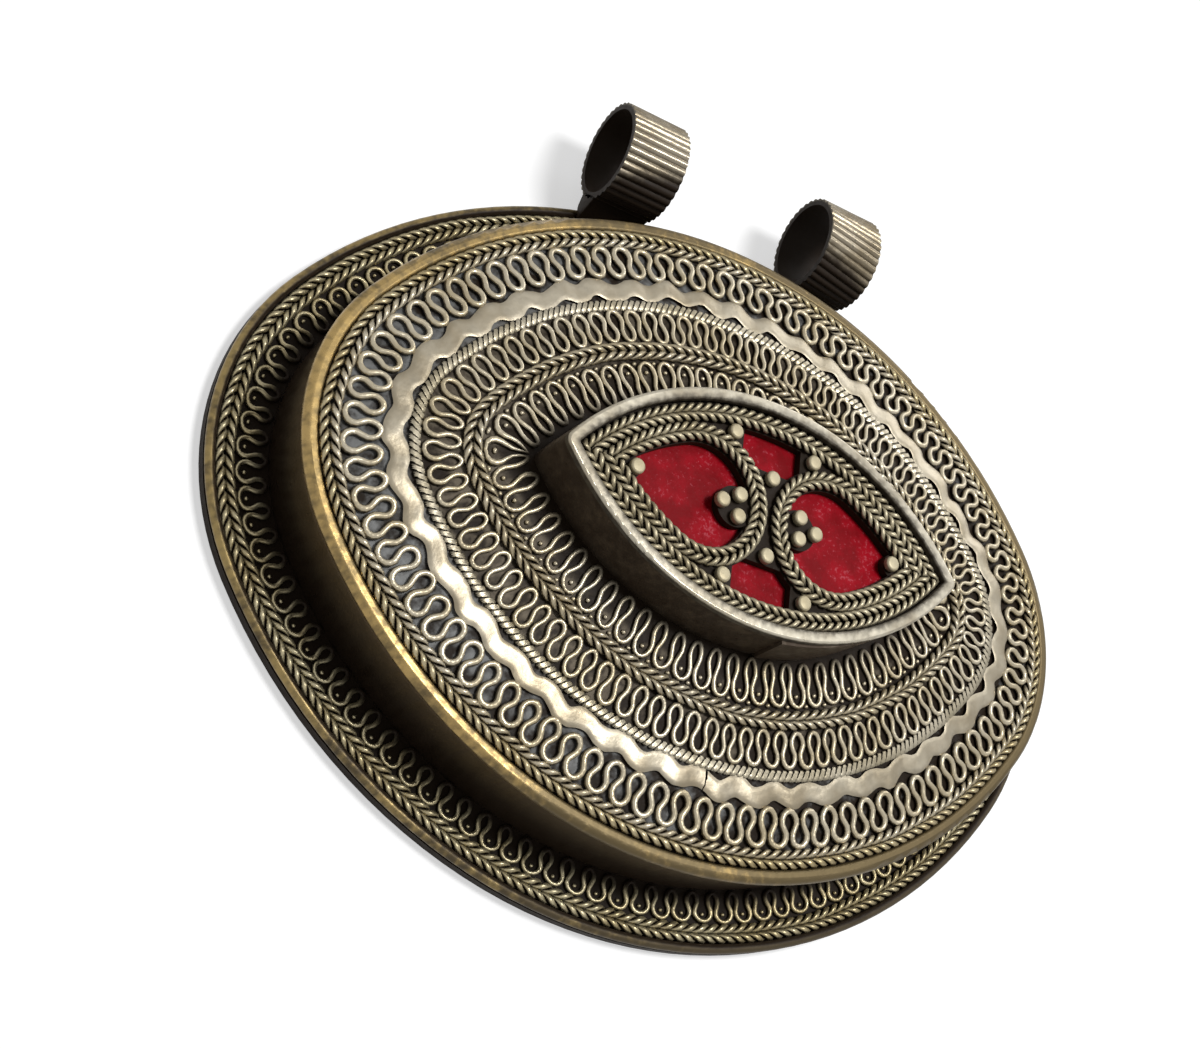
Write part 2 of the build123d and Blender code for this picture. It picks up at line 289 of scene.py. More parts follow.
def guide_along(points):
    """A closed curve through the points, for the Curve modifier."""
    data = bpy.data.curves.new("guide", "CURVE")
    data.dimensions = "3D"
    data.twist_mode = "Z_UP"
    data.use_stretch = False
    data.use_deform_bounds = False
    spline = data.splines.new("POLY")
    spline.points.add(len(points) - 1)
    for knot, point in zip(spline.points, points):
        knot.co = (*point, 1.0)
    spline.use_cyclic_u = True
    guide = bpy.data.objects.new("guide", data)
    bpy.context.scene.collection.objects.link(guide)
    return guide


def bend_round(piece, points, repeats):
    """Repeat the piece along X and bend the row round the points."""
    guide = guide_along(points)
    modify(
        piece,
        "ARRAY",
        count=repeats,
        use_relative_offset=False,
        use_constant_offset=True,
        constant_offset_displace=(closed_length(points) / repeats, 0, 0),
        use_merge_vertices=True,
        merge_threshold=ARRAY_MERGE,
    )
    modify(piece, "CURVE", object=guide)
    bpy.data.objects.remove(guide)
    clean(piece)
    print(piece.name, "repeats", repeats, "faces", len(piece.data.polygons))


def hand_bent(piece, amount, blotch):
    """Push the wire about in X and Y, by up to half this amount."""
    for axis, size in (("X", blotch), ("Y", blotch * Y_BLOTCH)):
        clouds = bpy.data.textures.new("hand_" + axis, "CLOUDS")
        clouds.noise_scale = size
        settings = {"texture": clouds, "texture_coords": "LOCAL", "direction": axis}
        modify(piece, "DISPLACE", mid_level=0.5, strength=amount, **settings)


def mark_lift(piece, measure):
    """Note on each point how far it stands out, from 0 in a groove to 1 on a crest."""
    lift = piece.data.attributes.new("lift", "FLOAT", "POINT")
    for vertex, mark in zip(piece.data.vertices, lift.data):
        mark.value = measure(vertex.co)


def open_ends(piece, length):
    """Delete the faces across both ends of a pattern, so that its copies join."""
    at_end = lambda face: min(abs(face.center.x), abs(face.center.x - length)) < MERGE
    pick(piece, "FACE", at_end)
    bpy.ops.mesh.delete(type="FACE")
    bpy.ops.object.mode_set(mode="OBJECT")


print("copies closer than this join, mm:", ARRAY_MERGE / MM)

# %% [markdown]
# A twisted wire is two strands laid round each other. Pairs lie side by side with opposite lay,
# which gives the plaited look. Two six-sided circles are drawn across the wire and extruded a
# little at a time with a turn after each step. Half a turn is enough, because each strand then
# takes the other's place. A strand crosses the wire at a slant, so its section across the wire is
# an oval. The left lay is the right one mirrored. A hair of room is left between the strands, so
# that their points don't merge.

# %% Twisted wires
STRAND = 0.45 * MM
STRAND_SIDES = 6
STRAND_BROAD = 1.45
STRAND_GAP = 0.015 * MM
HALF_TURN = 1.1 * MM
TWIST_STEPS = 5
CENTRE = (0, 0, 0)


def twisted_wire(
    name, points, lay, strand=STRAND, half_turn=HALF_TURN, broad=STRAND_BROAD, rolled=None
):
    """Two strands laid right (1) or left (-1); a rolled wire is flat at this height and depth."""
    repeats = round(closed_length(points) / half_turn)
    step = closed_length(points) / repeats / TWIST_STEPS
    turn = math.pi / TWIST_STEPS
    deselect()
    bpy.ops.mesh.primitive_circle_add(
        vertices=STRAND_SIDES, radius=strand / 2, rotation=(0, math.pi / 2, 0)
    )
    piece = named(name)
    settle(piece)
    bpy.ops.object.mode_set(mode="EDIT")
    bpy.ops.mesh.select_all(action="SELECT")
    bpy.ops.transform.resize(value=(1, 1, broad), center_override=CENTRE)
    bpy.ops.transform.translate(value=(0, strand / 2 + STRAND_GAP, 0))
    bpy.ops.mesh.duplicate()
    bpy.ops.transform.rotate(value=math.pi, orient_axis="X", center_override=CENTRE)
    bpy.ops.mesh.select_all(action="SELECT")
    for _ in range(TWIST_STEPS):
        bpy.ops.mesh.extrude_region_move(TRANSFORM_OT_translate={"value": (step, 0, 0)})
        bpy.ops.transform.rotate(value=turn, orient_axis="X", center_override=CENTRE)
    bpy.ops.mesh.select_all(action="SELECT")
    bpy.ops.transform.resize(value=(1, lay, 1), center_override=CENTRE)
    bpy.ops.object.mode_set(mode="OBJECT")
    mark_lift(piece, lambda co: math.hypot(co.y, co.z) / strand)
    if rolled:
        for vertex in piece.data.vertices:
            vertex.co.z = max(-rolled, min(rolled, vertex.co.z))
    bend_round(piece, points, repeats)
    return piece


WIRE_REST = 0.36 * MM
WIRE_PUSH = (0.25 * MM, 5.0 * MM)
OVAL_TWISTS = [
    ("back_twist_outer", "back_tray", 23.15 * MM, -1),
    ("back_twist_inner", "back_tray", 22.3 * MM, 1),
    ("cover_twist_1", "cover", 17.65 * MM, -1),
    ("cover_twist_2", "cover", 16.8 * MM, 1),
    ("cover_twist_3", "cover", 5.8 * MM, -1),
    ("cover_twist_4", "cover", 4.95 * MM, 1),
]
silver_pieces = []
for node, body, offset, lay in OVAL_TWISTS:
    ground, slope = ground_at(body, offset)
    rope = twisted_wire("twisted_" + node, walk(oval_arcs(offset), ground + WIRE_REST), lay)
    hand_bent(rope, *WIRE_PUSH)
    place(rope, body, "silver_wire", node)
    silver_pieces.append(rope)

# %% [markdown]
# The same twisted wire, laid a little tighter, frames the pierced panel: two rows inside the rim,
# and a pair round each leaf window.

# %% Twisted wires on the panel
PANEL_WIRE_Z = PANEL_TOP + 0.35 * MM
PANEL_HALF_TURN = 0.95 * MM
LEAF_INNER = -4.4 * MM
PANEL_TWISTS = [
    ("frame_twist_outer", oval_arcs(-1.85 * MM), 1),
    ("frame_twist_inner", oval_arcs(-2.7 * MM), -1),
    ("leaf_left_outer", leaf_arcs(LEAF_OUTER, -1), 1),
    ("leaf_left_inner", leaf_arcs(LEAF_INNER, -1), -1),
    ("leaf_right_outer", leaf_arcs(LEAF_OUTER, 1), 1),
    ("leaf_right_inner", leaf_arcs(LEAF_INNER, 1), -1),
]
for node, arcs, lay in PANEL_TWISTS:
    path = walk(arcs, PANEL_WIRE_Z, FINE_STEP)
    rope = twisted_wire("twisted_" + node, path, lay, half_turn=PANEL_HALF_TURN)
    place(rope, "cover", "silver_wire", node)
    silver_pieces.append(rope)

# %% [markdown]
# The filigree between the twisted wires is one round wire bent to and fro. A loop needs five curve
# points: the outer bend, the crossing, the inner bend, the crossing back and the next outer bend.
# At a crossing the wire leans back, which swells each bend into a drop with a narrow neck. A curve
# with a bevel makes the round wire, and it becomes a mesh before it is repeated.

# %% Looped wires
BEND_HANDLE = 0.78
CROSS_HANDLE = 0.43
PLAIN_SWELL = 0.25
SWELL_PER_LEAN = 0.44
LOOP_PUSH = (0.35 * MM, 2.6 * MM)


def looped_wire(name, points, loops, width, wire, swell_out, swell_in, slope):
    """A wire bent to and fro; swell is half a bend's width as a share of the pitch."""
    pitch = closed_length(points) / loops
    reach = (width - wire) / 2
    cross = (swell_out + 0.5 - swell_in) / 2
    lean = ((swell_out + swell_in) / 2 - PLAIN_SWELL) / SWELL_PER_LEAN
    deselect()
    bpy.ops.curve.primitive_bezier_curve_add()
    piece = named(name)
    spline = piece.data.splines[0]
    spline.bezier_points.add(3)
    bends = [
        (0, reach, BEND_HANDLE * swell_out, 0),
        (cross, 0, -lean, -CROSS_HANDLE),
        (0.5, -reach, BEND_HANDLE * swell_in, 0),
        (1 - cross, 0, -lean, CROSS_HANDLE),
        (1, reach, BEND_HANDLE * swell_out, 0),
    ]
    for bend, (x, y, along, across) in zip(spline.bezier_points, bends):
        spot = Vector((x * pitch, y, 0))
        handle = Vector((along * pitch, across * reach, 0))
        bend.handle_left_type = "FREE"
        bend.handle_right_type = "FREE"
        bend.co = spot
        bend.handle_left = spot - handle
        bend.handle_right = spot + handle
    piece.data.resolution_u = 5
    piece.data.bevel_depth = wire / 2
    piece.data.bevel_resolution = 1
    take(piece)
    bpy.ops.object.convert(target="MESH")
    piece.rotation_euler.x = -math.atan(slope)
    settle(piece)
    bend_round(piece, points, loops)
    hand_bent(piece, *LOOP_PUSH)
    return piece


FLANGE_LOOPS_MID = 20.4 * MM
FLANGE_LOOPS = 103
INNER_LOOPS_MID = 2.3 * MM
INNER_LOOPS = 57
LOOPED = [
    ("back_scroll", "back_tray", FLANGE_LOOPS_MID, FLANGE_LOOPS, 3.0 * MM, 0.44 * MM, 0.4, 0.25),
    ("cover_scroll_outer", "cover", 14.65 * MM, 83, 3.75 * MM, 0.6 * MM, 0.36, 0.34),
    ("cover_scroll_middle", "cover", 7.925 * MM, 79, 3.6 * MM, 0.47 * MM, 0.36, 0.33),
    ("cover_scroll_inner", "cover", INNER_LOOPS_MID, INNER_LOOPS, 4.3 * MM, 0.44 * MM, 0.39, 0.27),
]
for node, body, offset, loops, width, wire, swell_out, swell_in in LOOPED:
    ground, slope = ground_at(body, offset)
    path = walk(oval_arcs(offset), ground + wire / 2)
    name = "looped_" + node
    scroll = looped_wire(name, path, loops, width, wire, swell_out, swell_in, slope)
    place(scroll, body, "silver_wire", node)
    silver_pieces.append(scroll)

# %% [markdown]
# The broad bright band is a flat ribbon crimped into waves. Where a ribbon is crimped, the inside
# of each bend is a narrow bite and the outside stays broad, so its two edges follow different
# waves. A grid is moved point by point into that outline, rising and falling a little with each
# wave, and Solidify gives the sheet its thickness.

# %% Crimped ribbon
RIBBON_MID = 11.83 * MM
RIBBON_WAVES = 44
RIBBON_WIDTH = 1.75 * MM
RIBBON_SWING = 0.3 * MM
RIBBON_THICK = 0.3 * MM
RIBBON_RIPPLE = -0.05 * MM
RIBBON_CROWN = 0.1 * MM
CROWN_POWER = 5
RIBBON_PUSH = (0.95 * MM, 3.1 * MM)
BITE = 3.0


def grid_unit(name, length, width, columns, rows):
    """A flat grid from x = 0 to the length, centred across."""
    deselect()
    bpy.ops.mesh.primitive_grid_add(
        x_subdivisions=columns, y_subdivisions=rows, size=1, location=(0.5, 0, 0)
    )
    piece = named(name)
    settle(piece)
    piece.scale = (length, width, 1)
    settle(piece)
    return piece


def broad_wave(turn):
    """A wave from -1 to 1 with broad crests and narrow bites."""
    return 1 - 2 * abs(math.cos(turn / 2)) ** BITE


ribbon_ground, ribbon_slope = dome(RIBBON_MID)
ribbon_path = walk(oval_arcs(RIBBON_MID), ribbon_ground + RIBBON_THICK)
wave = closed_length(ribbon_path) / RIBBON_WAVES
ribbon = grid_unit("crimped_ribbon", wave, RIBBON_WIDTH, columns=16, rows=8)
for vertex in ribbon.data.vertices:
    turn = 2 * math.pi * vertex.co.x / wave
    across = vertex.co.y / RIBBON_WIDTH + 0.5
    outer_edge = broad_wave(turn)
    inner_edge = -broad_wave(turn + math.pi)
    crown = 1 - abs(2 * across - 1) ** CROWN_POWER
    vertex.co.y += RIBBON_SWING * (across * outer_edge + (1 - across) * inner_edge)
    vertex.co.z += RIBBON_CROWN * crown + RIBBON_RIPPLE * math.cos(turn)
modify(ribbon, "SOLIDIFY", thickness=RIBBON_THICK, offset=-1, use_rim=True)
open_ends(ribbon, wave)
ribbon.rotation_euler.x = -math.atan(ribbon_slope)
settle(ribbon)
bend_round(ribbon, ribbon_path, RIBBON_WAVES)
hand_bent(ribbon, *RIBBON_PUSH)

# %% [markdown]
# The ribbon's ends were cut square and meet in an open joint at the lower side. Two cuts with
# bisect mark the joint, the faces between them are deleted, and the cut ends are filled.

# %% The ribbon's open joint
JOINT_HALF = 0.1 * MM
NEAR_JOINT = 2.0 * MM
ROUND_CREASE = math.radians(50)
for cut_x in (-JOINT_HALF, JOINT_HALF):
    pick(ribbon, "FACE", lambda face: abs(face.center.x) < NEAR_JOINT and face.center.y < 0)
    bpy.ops.mesh.bisect(plane_co=(cut_x, 0, 0), plane_no=(1, 0, 0))
    bpy.ops.object.mode_set(mode="OBJECT")
pick(ribbon, "FACE", lambda face: abs(face.center.x) < JOINT_HALF and face.center.y < 0)
bpy.ops.mesh.delete(type="FACE")
bpy.ops.mesh.select_mode(type="VERT")
bpy.ops.mesh.select_all(action="SELECT")
bpy.ops.mesh.fill_holes(sides=0)
bpy.ops.mesh.normals_make_consistent(inside=False)
bpy.ops.object.mode_set(mode="OBJECT")
bpy.ops.object.shade_smooth_by_angle(angle=ROUND_CREASE)
place(ribbon, "cover", "silver_wire", "cover_ribbon")
print("ribbon faces with the joint:", len(ribbon.data.polygons))

# %% [markdown]
# Inside the ribbon runs a twisted wire that was rolled flat between steel rolls. It is the same
# twisted wire, made thicker and pressed flat above and below, so that the strands are left as
# lobes along both edges.

# %% Milled wire
MILLED_MID = 10.15 * MM
MILLED_STRAND = 0.54 * MM
MILLED_TURN = 0.64 * MM
MILLED_BROAD = 1.5
MILLED_HALF = 0.17 * MM
milled_path = walk(oval_arcs(MILLED_MID), dome(MILLED_MID)[0] + MILLED_HALF)
milled = twisted_wire(
    "milled_wire", milled_path, 1, MILLED_STRAND, MILLED_TURN, MILLED_BROAD, MILLED_HALF
)
hand_bent(milled, *WIRE_PUSH)
bpy.ops.object.shade_smooth_by_angle(angle=ROUND_CREASE)
place(milled, "cover", "silver_wire", "cover_milled_wire")

# %% [markdown]
# Tiny grains of silver fill the loops of the flange and of the row round the setting. A small ball
# is cut flat with bisect, so that it sits on the sheet, and one grain for each loop is bent round
# with the loops' own path.

# %% Grains
GRAIN_CUT = 0.45
CUT_TOLERANCE = 0.001 * MM


def grain_row(name, points, count, across, along, radius, slope):
    """A row of grains, each this far across the band and this share along its loop."""
    pitch = closed_length(points) / count
    deselect()
    bpy.ops.mesh.primitive_uv_sphere_add(segments=8, ring_count=6, radius=radius)
    piece = named(name)
    bpy.ops.object.mode_set(mode="EDIT")
    bpy.ops.mesh.select_all(action="SELECT")
    plane = {"plane_co": (0, 0, -GRAIN_CUT * radius), "plane_no": (0, 0, 1)}
    bpy.ops.mesh.bisect(**plane, threshold=CUT_TOLERANCE, clear_inner=True, use_fill=True)
    bpy.ops.object.mode_set(mode="OBJECT")
    piece.location = (along * pitch, across, GRAIN_CUT * radius - slope * across)
    settle(piece)
    bend_round(piece, points, count)
    return piece


GRAINS = [
    ("flange_grains", "back_tray", FLANGE_LOOPS_MID, FLANGE_LOOPS, 0.6 * MM, 0.0, 0.2 * MM),
    ("setting_grains_out", "cover", INNER_LOOPS_MID, INNER_LOOPS, 0.95 * MM, 0.0, 0.22 * MM),
    ("setting_grains_in", "cover", INNER_LOOPS_MID, INNER_LOOPS, 1.85 * MM, 0.5, 0.22 * MM),
]
for name, body, offset, count, across, along, radius in GRAINS:
    ground, slope = ground_at(body, offset)
    path = walk(oval_arcs(offset), ground)
    grains = grain_row(name, path, count, across, along, radius, slope)
    place(grains, body, "silver_wire")
    silver_pieces.append(grains)

# %% [markdown]
# The larger grains on the panel were melted into balls and tapped flat, so each is a low disc with
# a round edge: a cylinder with a Bevel modifier. One disc is copied to fourteen places and the
# copies are joined.

# %% Flattened granules
GRANULE = 0.72 * MM
GRANULE_HIGH = 0.78 * MM
GRANULE_ROUND = 0.24 * MM
GRANULE_PLACES = [
    (0, 3.719), (0, -3.719),
    (13.932, 0), (-13.932, 0),
    (5.075, 0), (-5.075, 0),
    (3.300, 1.025), (3.300, -1.025), (-3.300, 1.025), (-3.300, -1.025),
    (4.351, 6.826), (4.351, -6.826), (-4.351, 6.826), (-4.351, -6.826),
]
deselect()
bpy.ops.mesh.primitive_cylinder_add(vertices=20, radius=GRANULE, depth=GRANULE_HIGH)
discs = [named("flattened_granules")]
modify(discs[0], "BEVEL", width=GRANULE_ROUND, segments=4)
while len(discs) < len(GRANULE_PLACES):
    take(discs[0])
    bpy.ops.object.duplicate()
    discs.append(bpy.context.object)
for disc, (x, y) in zip(discs, GRANULE_PLACES):
    disc.location = (x * MM, y * MM, PANEL_TOP + GRANULE_HIGH / 2)
    settle(disc)
granules = join(discs)
bpy.ops.object.shade_smooth()
place(granules, "cover", "silver_wire", "granules")
print("granules:", len(GRANULE_PLACES))

# %% [markdown]
# The strip of the setting's wall was closed by lapping one end over the other on the lower side.
# The lap is a thin upright plate along the wall. Its free end stands off the wall a little, and
# its other end fades into it.

# %% Lapped seam
LAP_LENGTH = 10.0 * MM
LAP_THICK = 0.34 * MM
LAP_SINK = 0.1 * MM
LAP_SLANT = 0.1
LAP_START_X = 2.9 * MM
WALL_OUT = -0.2 * MM
WALL_LOW = 12.247 * MM
WALL_HIGH = 17.2 * MM
FLAT_CREASE = math.radians(40)
lap_height = WALL_HIGH - WALL_LOW
lap = grid_unit("bezel_lap", LAP_LENGTH, lap_height, columns=30, rows=6)
lap.rotation_euler.x = -math.pi / 2
lap.location.z = lap_height / 2
settle(lap)
modify(lap, "SOLIDIFY", thickness=LAP_THICK + LAP_SINK, offset=0)
wall_radius = SIDE_RADIUS + WALL_OUT
lap_angle = math.acos(LAP_START_X / wall_radius) - math.asin(SIDE_Y / wall_radius)
lap_start = wall_radius * lap_angle
for vertex in lap.data.vertices:
    if vertex.co.y > 0:
        vertex.co.y = LAP_THICK * vertex.co.x / LAP_LENGTH
    else:
        vertex.co.y = -LAP_SINK
    vertex.co.x += lap_start - LAP_LENGTH + LAP_SLANT * vertex.co.z
bend_round(lap, walk(oval_arcs(WALL_OUT), WALL_LOW, FINE_STEP), 1)
bpy.ops.object.shade_smooth_by_angle(angle=FLAT_CREASE)
place(lap, "cover", "silver_sheet")

# %% [markdown]
# Each bail is a reeded strip rolled into a tube, with a tongue soldered to the flange. One reed is
# a block with its outer corners drawn in. Thirty-six of them are bent into a ring, which is turned
# to lie along X. On the second bail the reeds run at a slant, so each level of that ring is turned
# a little further about its own axis.

# %% Bails
BAIL_X = 12.0 * MM
BAIL_Y = 37.564 * MM
BAIL_Z = 6.6 * MM
BAIL_WIDTH = 6.3 * MM
BAIL_MID = 4.65 * MM
BAIL_SHEET = 0.7 * MM
BAIL_STEP = 0.3 * MM
REEDS = 36
REED_CORNER = 0.24 * MM
REED_SHOULDER = 0.06 * MM
TONGUE_ROUND = 0.25 * MM
TONGUE_CORNERS = {
    (-1, -1): (31.964, 1.6),
    (1, -1): (33.714, 1.6),
    (-1, 1): (33.072, 5.396),
    (1, 1): (35.1, 2.657),
}


def reeded_tube(name, slant):
    """A reeded strip closed into a tube about Z."""
    path = walk([(0.0, 0.0, BAIL_MID, 2 * math.pi, 0.0)], 0.0, BAIL_STEP)
    reed = closed_length(path) / REEDS
    deselect()
    bpy.ops.mesh.primitive_cube_add(size=1, location=(0.5, 0, 0))
    piece = named(name)
    settle(piece)
    piece.scale = (reed, BAIL_SHEET, BAIL_WIDTH)
    settle(piece)
    open_ends(piece, reed)
    pick(piece, "VERT", lambda vertex: True)
    bpy.ops.mesh.subdivide(number_cuts=3)
    bpy.ops.object.mode_set(mode="OBJECT")
    outside = BAIL_SHEET / 2 - ARRAY_MERGE
    drops = ((0, REED_CORNER), (1, REED_CORNER), (0.25, REED_SHOULDER), (0.75, REED_SHOULDER))
    for share, drop in drops:
        outer = lambda co: abs(co.x - share * reed) < ARRAY_MERGE and co.y > outside
        shift(piece, outer, (0, -drop, 0))
    # The tube's inside face gets lift 0, so its finish paints it dark: painted shade inside the
    # tube.
    mark_lift(piece, lambda co: co.y / BAIL_SHEET + 0.5)
    bend_round(piece, path, REEDS)
    for vertex in piece.data.vertices:
        vertex.co = Matrix.Rotation(slant * vertex.co.z / BAIL_WIDTH, 3, "Z") @ vertex.co
    return piece


def bail_tongue(name, x):
    """The tongue between the flange and the tube."""
    deselect()
    bpy.ops.mesh.primitive_cube_add(size=1, location=(0, 0, 0))
    piece = named(name)
    for vertex in piece.data.vertices:
        y, z = TONGUE_CORNERS[(round(vertex.co.y * 2), round(vertex.co.z * 2))]
        vertex.co = (x + vertex.co.x * BAIL_WIDTH, y * MM, z * MM)
    modify(piece, "BEVEL", width=TONGUE_ROUND, segments=2)
    return piece


bails = []
for node, x, slant in (("bail_left", -BAIL_X, 0.0), ("bail_right", BAIL_X, 0.22)):
    tube = reeded_tube("reeded_" + node, slant)
    tube.rotation_euler.y = math.pi / 2
    tube.location = (x, BAIL_Y, BAIL_Z)
    settle(tube)
    bail = join([tube, bail_tongue("tongue_" + node, x)])
    bpy.ops.object.shade_smooth_by_angle(angle=FLAT_CREASE)
    place(bail, "back_tray", "bail_strip", node)
    bails.append(bail)
print("bails:", [len(bail.data.polygons) for bail in bails])

# %% [markdown]
# Finishes are node networks, and the sums in them read best as plain sums. A small class wraps a
# socket, so that an expression such as 1 - wear adds its own Math nodes. One method makes every
# other kind of node.

# %% A socket that takes sums
class Signal:
    """A value in a material's node network."""

    def __init__(self, tree, socket=None):
        self.tree = tree
        self.socket = socket

    def node(self, kind, settings=None, sockets=None, out=0):
        """Add a node: its settings first, then the values or links of its sockets."""
        made = self.tree.nodes.new(kind)
        for key, value in (settings or {}).items():
            setattr(made, key, value)
        for key, value in (sockets or {}).items():
            if isinstance(value, Signal):
                self.tree.links.new(value.socket, made.inputs[key])
            else:
                made.inputs[key].default_value = value
        return Signal(self.tree, made.outputs[out] if made.outputs else None)

    def sum(self, operation, a, b=0.0):
        """Add a Math node."""
        return self.node("ShaderNodeMath", {"operation": operation}, {0: a, 1: b})

    def __add__(self, other):
        return self.sum("ADD", self, other)

    __radd__ = __add__

    def __sub__(self, other):
        return self.sum("SUBTRACT", self, other)

    def __rsub__(self, other):
        return self.sum("SUBTRACT", other, self)

    def __mul__(self, other):
        return self.sum("MULTIPLY", self, other)

    __rmul__ = __mul__


print("a Signal adds, takes away and multiplies")

# %% [markdown]
# Every finish starts from a point's place on the object and ends in one surface shader. Between
# them stand mixed colours, smooth steps and noise.

# %% Nodes that every finish uses
def new_network(owner):
    """The empty node network of a material or a world."""
    owner.use_nodes = True
    owner.node_tree.nodes.clear()
    return Signal(owner.node_tree)


def new_finish(name):
    """An empty material, and the place of a point on the object."""
    material = bpy.data.materials.new(name)
    spot = new_network(material).node("ShaderNodeTexCoord", out="Object")
    return material, spot


def mix(mask, a, b):
    """Colour a where the mask is 0, colour b where it is 1."""
    a = a if isinstance(a, Signal) else (*a, 1.0)
    b = b if isinstance(b, Signal) else (*b, 1.0)
    return mask.node("ShaderNodeMix", {"data_type": "RGBA"}, {0: mask, 6: a, 7: b}, out=2)


def ease(value, low, high):
    """0 below low, 1 above high, smooth between."""
    sockets = {"Value": value, "From Min": low, "From Max": high}
    return value.node("ShaderNodeMapRange", {"interpolation_type": "SMOOTHSTEP"}, sockets)


def part_of(vector, axis):
    """One axis of a vector, 0 to 2."""
    return vector.node("ShaderNodeSeparateXYZ", None, {0: vector}, out=axis)


def noise(spot, scale, detail=3.0, rough=0.55):
    """Cloudy noise; the scale counts blotches in a metre."""
    sockets = {"Vector": spot, "Scale": scale, "Detail": detail, "Roughness": rough}
    return spot.node("ShaderNodeTexNoise", None, sockets)


def close_finish(material, spot, bump, bump_height, sockets):
    """Add the surface shader and a bump, and join them to the output."""
    height = {"Height": bump, "Strength": 1.0, "Distance": bump_height}
    sockets["Normal"] = spot.node("ShaderNodeBump", None, height)
    surface = spot.node("ShaderNodeBsdfPrincipled", None, sockets)
    spot.node("ShaderNodeOutputMaterial", None, {"Surface": surface})
    return material


print("mix, ease and noise are ready")

# %% [markdown]
# Painted shade and the sheet's tarnish follow the rings: the shade lies at the foot of each wall,
# where a wall's shadow falls. So the finishes need to know how far out a point lies, counted in the
# same offsets as the rings, and that takes the same two kinds of arc. Two helpers hand a finish to
# a new piece or to a solid that stays in view.

# %% How far out a point lies
def ring_of(spot):
    """The offset of a point, in metres."""
    x = spot.sum("ABSOLUTE", part_of(spot, 0))
    y = spot.sum("ABSOLUTE", part_of(spot, 1))
    past = x - END_X
    below = y + SIDE_Y
    side = spot.sum("SQRT", x * x + below * below) - SIDE_RADIUS
    end = spot.sum("SQRT", past * past + y * y)
    at_end = spot.sum("GREATER_THAN", past * SIDE_Y, y * END_X)
    return side + at_end * (end - side)


def wear(piece, material):
    """Give a new piece its finish."""
    piece.data.materials.clear()
    piece.data.materials.append(material)


def dress(node, material):
    """Give a solid that stays in view its finish."""
    for spot in nodes[node].material_slots:
        spot.material = material


print("rings are counted from the lens, ends at x, mm:", END_X / MM)

# %% [markdown]
# Old silver is bright where fingers rub it and dark brown where they can't reach. A point counts as
# rubbed if its surface faces up, a little more or less by noise, and if it isn't in a groove. The
# same dark brown is painted as shade at the foot of a wall and inside a bail's tube. The rubbed
# metal itself wanders between a pale and a warmer tone.

# %% Aged silver
TARNISH_AND_SHADE = (0.02, 0.013, 0.008)
DULL = 0.12
FINE_BUMP = 0.03 * MM
SILVER_SCALES = (90.0, 420.0, 1400.0)
CREST = (0.5, 0.8)
TONE_CHANGE = (0.38, 0.62)
TONES = {
    "front": ((0.47, 0.42, 0.32), (0.38, 0.32, 0.21)),
    "flange": ((0.42, 0.37, 0.24), (0.33, 0.27, 0.15)),
    "gilt": ((0.43, 0.365, 0.23), (0.35, 0.28, 0.15)),
    "panel": ((0.37, 0.325, 0.225), (0.25, 0.21, 0.13)),
    "grain": ((0.41, 0.36, 0.245), (0.34, 0.285, 0.175)),
    "milled": ((0.34, 0.305, 0.235), (0.26, 0.225, 0.155)),
    "ribbon": ((0.37, 0.33, 0.255), (0.25, 0.21, 0.145)),
    "strip": ((0.3, 0.262, 0.2), (0.17, 0.138, 0.09)),
    "rim": ((0.5, 0.46, 0.37), (0.3, 0.26, 0.19)),
}


def aged_silver(name, tone, low, high, shine, grooved=False, foot=None, metallic=0.7):
    """Silver, dark on its sides, where its lift is low and below a band of offsets."""
    pale, warm = TONES[tone]
    material, spot = new_finish(name)
    facing = spot.node("ShaderNodeTexCoord", out="Normal")
    patches, blotches, fine = (noise(spot, scale) for scale in SILVER_SCALES)
    uneven = (fine - 0.5) * 0.4 + (blotches - 0.5) * 0.5 + (patches - 0.5) * 0.3
    rubbed_and_unshaded = ease(part_of(facing, 2) + uneven, low, high)
    if grooved:
        lift = spot.node("ShaderNodeAttribute", {"attribute_name": "lift"}, out="Fac")
        rubbed_and_unshaded = rubbed_and_unshaded * ease(lift, *CREST)
    if foot:
        # Below the foot's offsets the silver is painted dark: painted shade at the foot of a wall.
        rubbed_and_unshaded = rubbed_and_unshaded * ease(ring_of(spot) + (fine - 0.5) * MM, *foot)
    metal = mix(ease(patches * 0.6 + blotches * 0.4, *TONE_CHANGE), pale, warm)
    sockets = {
        "Base Color": mix(rubbed_and_unshaded, TARNISH_AND_SHADE, metal),
        "Metallic": rubbed_and_unshaded * metallic,
        "Roughness": (1.0 - rubbed_and_unshaded) * 0.25 + (fine - 0.5) * 0.25 + shine,
        "Specular IOR Level": DULL,
    }
    return close_finish(material, spot, fine, FINE_BUMP, sockets)


print("tones of silver:", len(TONES))

# %% [markdown]
# The flange is more olive than the front, the outermost wire of the cover keeps some gilding, and
# the wires of the panel are dirtier. The foot of the cover, of the setting and of the bails is
# painted dark as shade: the cover's and the setting's shadows, and shade under the bails.

